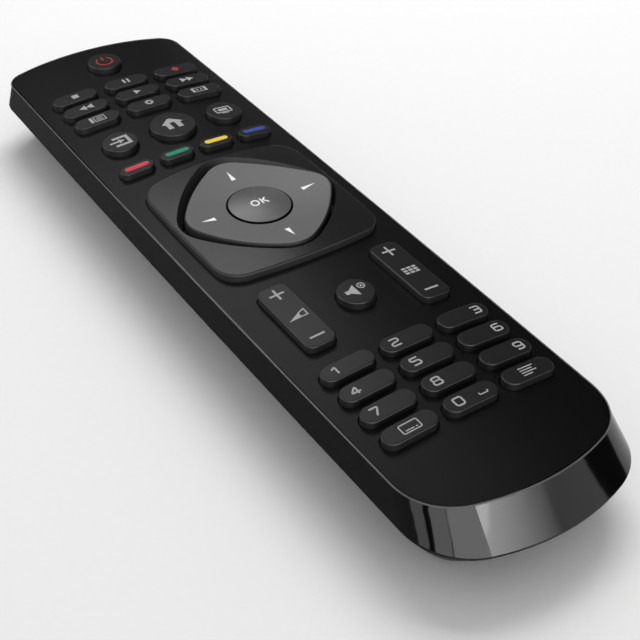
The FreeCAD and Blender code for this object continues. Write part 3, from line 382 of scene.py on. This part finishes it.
def sign(name, body, faces, middle, surface, material, proud=PRINT_HEIGHT):
    """Makes one thin solid print from flat outlines laid on a face."""
    mesh = bpy.data.meshes.new(name)
    shape = bmesh.new()
    for outline in faces:
        corners = []
        for x, y in outline:
            place_x = middle[0] + x
            place_y = middle[1] + y
            height = surface(place_x, place_y) + proud
            corners.append(shape.verts.new((place_x * MM, place_y * MM, height * MM)))
        shape.faces.new(corners)
    bmesh.ops.remove_doubles(shape, verts=shape.verts, dist=PRINT_WELD * MM)
    top = list(shape.faces)
    bmesh.ops.recalc_face_normals(shape, faces=top)
    for face in top:
        if face.normal.z < 0:
            face.normal_flip()
    made = bmesh.ops.extrude_face_region(shape, geom=top, use_keep_orig=True)
    lower = [item for item in made["geom"] if isinstance(item, bmesh.types.BMVert)]
    bmesh.ops.translate(shape, verts=lower, vec=(0, 0, -(proud + PRINT_DEPTH) * MM))
    bmesh.ops.recalc_face_normals(shape, faces=shape.faces)
    shape.to_mesh(mesh)
    shape.free()
    mesh.materials.append(material)
    piece = bpy.data.objects.new(name, mesh)
    bpy.context.scene.collection.objects.link(piece)
    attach(piece, body)
    return piece


# Numbers: lines on a square that runs from about -1 to 1. Each line is open or closed.

DIGIT_LINES = {
    "0": [([(0, 1), (-1, 1), (-1, -1), (1, -1), (1, 1)], True)],
    "1": [([(-0.6, 0.45), (0.3, 1), (0.3, -1)], False)],
    "2": [([(-1, 1), (1, 1), (1, 0.1), (-1, -0.15), (-1, -1), (1, -1)], False)],
    "3": [([(-1, 1), (1, 1), (1, -1), (-1, -1)], False), ([(-0.6, 0), (1, 0)], False)],
    "4": [([(0.4, -1), (0.4, 1), (-1.1, -0.45), (1.1, -0.45)], False)],
    "5": [([(0.95, 1), (-1, 1), (-1, 0.12), (1, 0.12), (1, -1), (-1, -1)], False)],
    "6": [([(0.9, 1), (-1, 1), (-1, -1), (1, -1), (1, 0.12), (-1, 0.12)], False)],
    "7": [([(-1, 1), (1, 1), (-0.25, -1)], False)],
    "8": [([(0, 1), (-0.9, 1), (-0.9, 0.08), (0.9, 0.08), (0.9, 1)], True),
          ([(0, -1), (1, -1), (1, 0.08), (-1, 0.08), (-1, -1)], True)],
    "9": [([(-0.9, -1), (1, -1), (1, 1), (-1, 1), (-1, -0.12), (1, -0.12)], False)],
}
DIGIT_HALF_WIDTH = 0.92
DIGIT_HALF_HEIGHT = 0.98
DIGIT_STROKE = 0.38
DIGIT_CORNER = 0.55


def digit(character):
    faces = []
    for points, closed in DIGIT_LINES[character]:
        line = [(x * DIGIT_HALF_WIDTH, y * DIGIT_HALF_HEIGHT) for x, y in points]
        faces += stroke(rounded(line, DIGIT_CORNER, closed), DIGIT_STROKE, closed)
    return faces


NUMBER_FIRST_ROW = -51.3
NUMBER_ROW_PITCH = 6.53
NUMBER_PITCH = 14.0
NUMBERS = (
    (("one_key", "1"), ("two_key", "2"), ("three_key", "3")),
    (("four_key", "4"), ("five_key", "5"), ("six_key", "6")),
    (("seven_key", "7"), ("eight_key", "8"), ("nine_key", "9")),
    (None, ("zero_key", "0"), None),
)
DIGIT_LEFT = -2.85
DIGIT_RIGHT = 3.45
KEY_TOP = crown(KEY_RISE)

for row, names in enumerate(NUMBERS):
    for column, entry in zip((-1, 0, 1), names):
        if entry is None:
            continue
        body, character = entry
        middle = (NUMBER_PITCH * column, NUMBER_FIRST_ROW - NUMBER_ROW_PITCH * row)
        offset = DIGIT_RIGHT if column == 1 else DIGIT_LEFT
        sign(f"{body}_number", body, shifted(digit(character), offset, 0), middle, KEY_TOP, PRINT)

# The last row: the blank sign on the zero key, and plain signs for captions and for pages of text

HAIRLINE = 0.2
THIN = 0.26
MEDIUM = 0.42
TIGHT_CORNER = 0.2
SOFT_CORNER = 0.4
LAST_ROW = NUMBER_FIRST_ROW - NUMBER_ROW_PITCH * (len(NUMBERS) - 1)

blank_line = [(1.6, -0.2), (1.6, -0.75), (3.5, -0.75), (3.5, -0.2)]
blank = stroke(rounded(blank_line, TIGHT_CORNER), THIN)
sign("zero_key_blank", "zero_key", blank, (0, LAST_ROW), KEY_TOP, PRINT)

caption_box = [(0, -1.1), (-2, -1.1), (-2, 1.1), (2, 1.1), (2, -1.1)]
caption = stroke(rounded(caption_box, SOFT_CORNER, True), THIN, True)
caption += stroke([(-1.3, -0.55), (0.5, -0.55)], THIN)
caption += stroke([(0.9, -0.55), (1.3, -0.55)], THIN)
sign("caption_sign", "subtitle_key", caption, (-NUMBER_PITCH, LAST_ROW), KEY_TOP, PRINT)

PAGE_LEFT = -1.8
page = []
for height, right in ((1.0, 1.8), (0.33, 1.2), (-0.33, 1.8), (-1.0, 0.4)):
    page += stroke([(PAGE_LEFT, height), (right, height)], THIN)
sign("page_sign", "text_key", page, (NUMBER_PITCH, LAST_ROW), KEY_TOP, PRINT)


# Signs of the media keys, with each key's column and row

MEDIA_FIRST_ROW = 70.93
MEDIA_ROW_PITCH = 6.62
MEDIA_PITCH = 14.45
SKIP_LENGTH = 1.85
SKIP_HALF_HEIGHT = 1.1
GEAR_TEETH = 8
GEAR_RADIUS = 0.72
TOOTH_FOOT = 0.85
TOOTH_TIP = 1.2
TOOTH_WIDTH = 0.34

guide_frame = [(0.5, 1.1), (-0.8, 1.1), (-0.8, -1.1), (2.0, -1.1), (2.0, 1.1)]
guide = [block(-2.0, -1.25, -1.25, 1.25)]
guide += stroke(rounded(guide_frame, TIGHT_CORNER, True), THIN, True)
for height in (0.45, -0.1, -0.6):
    guide += stroke([(-0.3, height), (1.5, height)], HAIRLINE)

gear = stroke(circle(0, 0, GEAR_RADIUS), MEDIUM, True)
for tooth in range(GEAR_TEETH):
    turn = 2 * math.pi * tooth / GEAR_TEETH
    foot = (TOOTH_FOOT * math.cos(turn), TOOTH_FOOT * math.sin(turn))
    tip = (TOOTH_TIP * math.cos(turn), TOOTH_TIP * math.sin(turn))
    gear += stroke([foot, tip], TOOTH_WIDTH)

screen = [
    block(-2.1, -1.35, -1.1, 1.1),
    block(1.35, 2.1, -1.1, 1.1),
    block(-1.35, 1.35, 0.86, 1.1),
    block(-1.35, 1.35, -1.1, -0.86),
    triangle(-0.35, -0.95, 0.5),
    triangle(0.35, 0.95, 0.5),
]

stop = [block(-0.85, 0.85, -0.85, 0.85)]
pause = [block(-0.9, -0.3, -1.0, 1.0), block(0.3, 0.9, -1.0, 1.0)]
record = [circle(0, 0, 0.95)]
rewind = [triangle(0.0, -SKIP_LENGTH, SKIP_HALF_HEIGHT), triangle(SKIP_LENGTH, 0.0, SKIP_HALF_HEIGHT)]
play = [triangle(-0.8, 0.95, 1.05)]
forward = [triangle(-SKIP_LENGTH, 0.0, SKIP_HALF_HEIGHT), triangle(0.0, SKIP_LENGTH, SKIP_HALF_HEIGHT)]

MEDIA_SIGNS = (
    ("stop", -1, 0, stop, PRINT),
    ("pause", 0, 0, pause, PRINT),
    ("record", 1, 0, record, RED_PRINT),
    ("rewind", -1, 1, rewind, PRINT),
    ("play", 0, 1, play, PRINT),
    ("forward", 1, 1, forward, PRINT),
    ("guide", -1, 2, guide, PRINT),
    ("setup", 0, 2, gear, PRINT),
    ("screen", 1, 2, screen, PRINT),
)
for name, column, row, faces, material in MEDIA_SIGNS:
    middle = (MEDIA_PITCH * column, MEDIA_FIRST_ROW - MEDIA_ROW_PITCH * row)
    sign(f"{name}_sign", f"{name}_key", faces, middle, KEY_TOP, material)


# Signs of the round keys

HOME_PLACE = 45.01
SIDE_ROUND_PITCH = 14.38
POWER_PLACE = 83.99
MUTE_PLACE = -34.03
ARROW_BOX_STROKE = 0.8
ARROW_SHAFT_STROKE = 0.62
CROSS_STROKE = 0.22

roof = [
    (-2.9, 0.3), (-2.0, 0.0), (-0.65, 0.0), (-0.65, 0.65), (0.65, 0.65),
    (0.65, 0.0), (2.0, 0.0), (2.9, 0.3), (0.35, 2.6), (-0.35, 2.6),
]
house = [roof, block(-2.0, -0.65, -2.2, 0.0), block(0.65, 2.0, -2.2, 0.0)]
sign("house_sign", "home_key", house, (0, HOME_PLACE), KEY_TOP, PRINT)

source = stroke([(-1.5, 1.6), (2.1, 1.6), (2.1, -1.7), (-1.8, -1.7)], ARROW_BOX_STROKE)
source += stroke([(-2.7, 0.0), (-0.2, 0.0)], ARROW_SHAFT_STROKE)
source += [triangle(-0.4, 1.15, 0.95)]
sign("source_sign", "source_key", source, (-SIDE_ROUND_PITCH, HOME_PLACE), KEY_TOP, PRINT)

set_frame = [(0, 1.5), (-2.1, 1.5), (-2.1, -0.9), (2.1, -0.9), (2.1, 1.5)]
set_sign = stroke(rounded(set_frame, SOFT_CORNER, True), MEDIUM, True)
set_sign += [block(-1.0, 1.0, -1.6, -1.3), block(-1.3, 1.3, -0.25, 0.85)]
sign("set_sign", "tv_key", set_sign, (SIDE_ROUND_PITCH, HOME_PLACE), KEY_TOP, PRINT)

power = stroke(arc(0, -0.1, 2.1, 125, 415), MEDIUM) + stroke([(0, 0.4), (0, 2.35)], MEDIUM)
sign("power_sign", "power_key", power, (0, POWER_PLACE), KEY_TOP, RED_PRINT)

horn = [(-1.35, 0.75), (-2.35, 0.75), (-2.35, -0.35), (-1.35, -0.35), (0.3, -1.65), (0.3, 2.0)]
speaker = [horn] + stroke(circle(1.85, 0.95, 0.8), THIN, True)
speaker += stroke([(1.5, 0.6), (2.2, 1.3)], CROSS_STROKE)
speaker += stroke([(1.5, 1.3), (2.2, 0.6)], CROSS_STROKE)
sign("speaker_sign", "mute_key", speaker, (0, MUTE_PLACE), KEY_TOP, PRINT)


# Signs of the rockers: plus and minus at their ends, a wedge and a grid between

ROCKER_PITCH = 14.12
ROCKER_PLACE = -33.35
BOLD = 0.5
SIGN_REACH = 1.7
PLUS_PLACE = 7.25
MINUS_PLACE = -7.65
WEDGE_STROKE = 0.3
GRID_COLUMN_PITCH = 1.3
GRID_ROW_PITCH = 0.85
SQUARE_HALF_WIDTH = 0.5
SQUARE_BOTTOM = -0.82
SQUARE_TOP = -0.24


def plus_and_minus():
    arm = BOLD / 2
    return [
        block(-SIGN_REACH, -arm, PLUS_PLACE - arm, PLUS_PLACE + arm),
        block(arm, SIGN_REACH, PLUS_PLACE - arm, PLUS_PLACE + arm),
        block(-arm, arm, PLUS_PLACE - SIGN_REACH, PLUS_PLACE + SIGN_REACH),
        block(-SIGN_REACH, SIGN_REACH, MINUS_PLACE - arm, MINUS_PLACE + arm),
    ]


wedge = stroke([(0.4, -1.25), (2.0, -1.25), (2.0, 0.6), (0.4, -0.05)], WEDGE_STROKE, True)
wedge += [[(-2.4, -1.4), (0.3, -1.4), (0.3, 0.0)]]
grid = []
for column in (-1, 0, 1):
    for row in (-1, 0, 1):
        centre = GRID_COLUMN_PITCH * column
        level = GRID_ROW_PITCH * row
        left = centre - SQUARE_HALF_WIDTH
        right = centre + SQUARE_HALF_WIDTH
        grid += [block(left, right, level + SQUARE_BOTTOM, level + SQUARE_TOP)]
volume = plus_and_minus() + wedge
channel = plus_and_minus() + grid
sign("volume_signs", "volume_rocker", volume, (-ROCKER_PITCH, ROCKER_PLACE), KEY_TOP, PRINT)
sign("channel_signs", "channel_rocker", channel, (ROCKER_PITCH, ROCKER_PLACE), KEY_TOP, PRINT)


# Colour bars, each with its key's place in pitches from the middle

COLOUR_PITCH = 10.7
COLOUR_PLACE = 32.75
BAR_LENGTH = 6.2
BAR_WIDTH = 1.45
BAR_END_STEPS = 8
BAR_HEIGHT = 0.09
COLOUR_BARS = (
    (-1.5, "red", RED),
    (-0.5, "green", GREEN),
    (0.5, "yellow", YELLOW),
    (1.5, "blue", BLUE),
)

bar_reach = (BAR_LENGTH - BAR_WIDTH) / 2
bar = arc(bar_reach, 0, BAR_WIDTH / 2, -90, 90, BAR_END_STEPS)
bar += arc(-bar_reach, 0, BAR_WIDTH / 2, 90, 270, BAR_END_STEPS)
for place, name, material in COLOUR_BARS:
    middle = (COLOUR_PITCH * place, COLOUR_PLACE)
    sign(f"{name}_bar", f"{name}_key", [bar], middle, KEY_TOP, material, proud=BAR_HEIGHT)


# The arrow ring's pointers and the centre button's letters

POINTER_START = 11.4
POINTER_END = 14.85
POINTER_HALF_WIDTH = 0.6
LETTER_STROKE = 0.36
ROUND_LETTER_RADIUS = 0.97
ROUND_LETTER_NARROWING = 0.88
ROUND_LETTER_PLACE = -1.15

pointers = []
for turn in range(4):
    angle = math.pi / 2 * turn
    along = Vector((math.cos(angle), math.sin(angle)))
    across = Vector((-along.y, along.x)) * POINTER_HALF_WIDTH
    foot = along * POINTER_START
    pointers.append([tuple(foot - across), tuple(along * POINTER_END), tuple(foot + across)])
sign("pointers", "arrow_ring", pointers, (0, ARROWS_PLACE), dish, WHITE_PRINT)

round_letter = [
    (x * ROUND_LETTER_NARROWING + ROUND_LETTER_PLACE, y)
    for x, y in circle(0, 0, ROUND_LETTER_RADIUS)
]
letters = stroke(round_letter, LETTER_STROKE, True)
for start, end in (
    ((0.55, 1.05), (0.55, -1.05)),
    ((1.85, 1.05), (0.7, 0.05)),
    ((0.95, 0.25), (1.95, -1.05)),
):
    letters += stroke([start, end], LETTER_STROKE)
sign("button_letters", "centre_button", letters, (0, ARROWS_PLACE), dome, WHITE_PRINT)


# The stage: a pale floor, and a dark flag on it at the part's left that only reflections show: it paints a
# dark reflection into the gloss band's left wall.
# Its sizes are in metres.

FLOOR_HALF = 2.5
FLOOR_COLOUR = (0.93, 0.93, 0.93, 1.0)
FLAG_LEFT = -0.6
FLAG_RIGHT = -0.027
FLAG_NEAR = -0.1
FLAG_FAR = 0.6
FLAG_HEIGHT = 0.0001


def level_sheet(name, left, right, near, far, height, material):
    mesh = bpy.data.meshes.new(name)
    corners = [(left, near, height), (right, near, height), (right, far, height), (left, far, height)]
    mesh.from_pydata(corners, [], [(0, 1, 2, 3)])
    mesh.materials.append(material)
    item = bpy.data.objects.new(name, mesh)
    bpy.context.scene.collection.objects.link(item)
    return item


pale = plastic("pale_floor", FLOOR_COLOUR, 0.7, 0.2, 2.0, 0.002, speckle=0.005)
floor = level_sheet("floor", -FLOOR_HALF, FLOOR_HALF, -FLOOR_HALF, FLOOR_HALF, 0, pale)

# A sheet seen only in reflections: a painted dark reflection in the band's left wall
dark = plastic("painted_reflection_flag", grey(118), 1.0, 0.0, 2.0, 0.002)
flag = level_sheet("flag", FLAG_LEFT, FLAG_RIGHT, FLAG_NEAR, FLAG_FAR, FLAG_HEIGHT, dark)
flag.visible_camera = False
flag.visible_diffuse = False
flag.visible_transmission = False
flag.visible_shadow = False

# Soft light from all round, which is nearly dark in reflections

AMBIENT = 0.55
GLOSS_AMBIENT = 0.02
world = bpy.data.worlds.new("soft_room")
bpy.context.scene.world = world
world.use_nodes = True
room = world.node_tree
background = room.nodes["Background"]
background.inputs["Color"].default_value = (1.0, 1.0, 1.0, 1.0)
path = room.nodes.new("ShaderNodeLightPath")
ambient = room.nodes.new("ShaderNodeMapRange")
ambient.inputs["To Min"].default_value = AMBIENT
ambient.inputs["To Max"].default_value = GLOSS_AMBIENT
room.links.new(path.outputs["Is Glossy Ray"], ambient.inputs["Value"])
room.links.new(ambient.outputs["Result"], background.inputs["Strength"])


def softbox(name, azimuth, elevation, width, height, radiance, gloss=True, fade=1.0):
    """An area light one metre from the part. Azimuth 0 is along +Y and 90 along +X.

    With gloss it is seen in reflections only, and without it it only lights. fade is the
    share of its light that is left at the side with the lower azimuth.
    """
    lamp = bpy.data.lights.new(name, "AREA")
    lamp.shape = "RECTANGLE"
    lamp.size = width
    lamp.size_y = height
    lamp.energy = radiance * math.pi * width * height
    place = Vector((
        math.sin(math.radians(azimuth)) * math.cos(math.radians(elevation)),
        math.cos(math.radians(azimuth)) * math.cos(math.radians(elevation)),
        math.sin(math.radians(elevation)),
    ))
    item = bpy.data.objects.new(name, lamp)
    item.location = place
    item.rotation_euler = place.to_track_quat("Z", "Y").to_euler()
    item.visible_camera = False
    item.visible_diffuse = not gloss
    item.visible_glossy = gloss
    bpy.context.scene.collection.objects.link(item)
    if fade < 1:
        lamp.use_nodes = True
        nodes = lamp.node_tree.nodes
        links = lamp.node_tree.links
        spot = nodes.new("ShaderNodeNewGeometry")
        parts = nodes.new("ShaderNodeSeparateXYZ")
        level = nodes.new("ShaderNodeMapRange")
        level.inputs["To Min"].default_value = 1.0
        level.inputs["To Max"].default_value = fade
        links.new(spot.outputs["Parametric"], parts.inputs["Vector"])
        links.new(parts.outputs["X"], level.inputs["Value"])
        links.new(level.outputs["Result"], nodes["Emission"].inputs["Strength"])


softbox("key_light", 40, 52, 0.7, 0.5, 5.4, gloss=False)
softbox("sky_card", 17, 44, 0.4, 0.22, 1.5)
softbox("high_card", 26, 57, 0.56, 0.2, 0.55)
softbox("left_card", -50, 27, 0.6, 0.4, 5.0)
softbox("horizon_card", -20, 10, 0.2, 0.34, 0.8)
softbox("low_card", 38, 14, 0.3, 0.26, 0.3)
softbox("front_card", 166, 23, 0.52, 0.52, 7.2, fade=0.08)
softbox("front_left_card", 200, 26, 0.68, 0.8, 3.0)
softbox("corner_card", 232, 14, 0.34, 0.6, 2.0)
softbox("edge_card", 242, 52, 0.5, 0.3, 3.5)
softbox("corner_fill", 264, 8, 0.5, 0.5, 1.3)
softbox("front_fill", 141, 13, 0.34, 0.28, 0.8)

# The photograph's camera: its place, and its turns about X, Y and Z in degrees

CAMERA_PLACE = (-111.23, -182.82, 166.16)
CAMERA_TURNS = (50.307, -1.077, -33.665)
CAMERA_SENSOR = 36.0
CAMERA_LENS = 65.0
CAMERA_NEAREST = 0.01

camera_data = bpy.data.cameras.new("camera")
camera_data.sensor_width = CAMERA_SENSOR
camera_data.lens = CAMERA_LENS
camera_data.clip_start = CAMERA_NEAREST
camera = bpy.data.objects.new("camera", camera_data)
camera.location = Vector(CAMERA_PLACE) * MM
camera.rotation_euler = Euler([math.radians(turn) for turn in CAMERA_TURNS], "XYZ")
bpy.context.scene.collection.objects.link(camera)
bpy.context.scene.camera = camera

bpy.context.scene.view_settings.view_transform = "Standard"
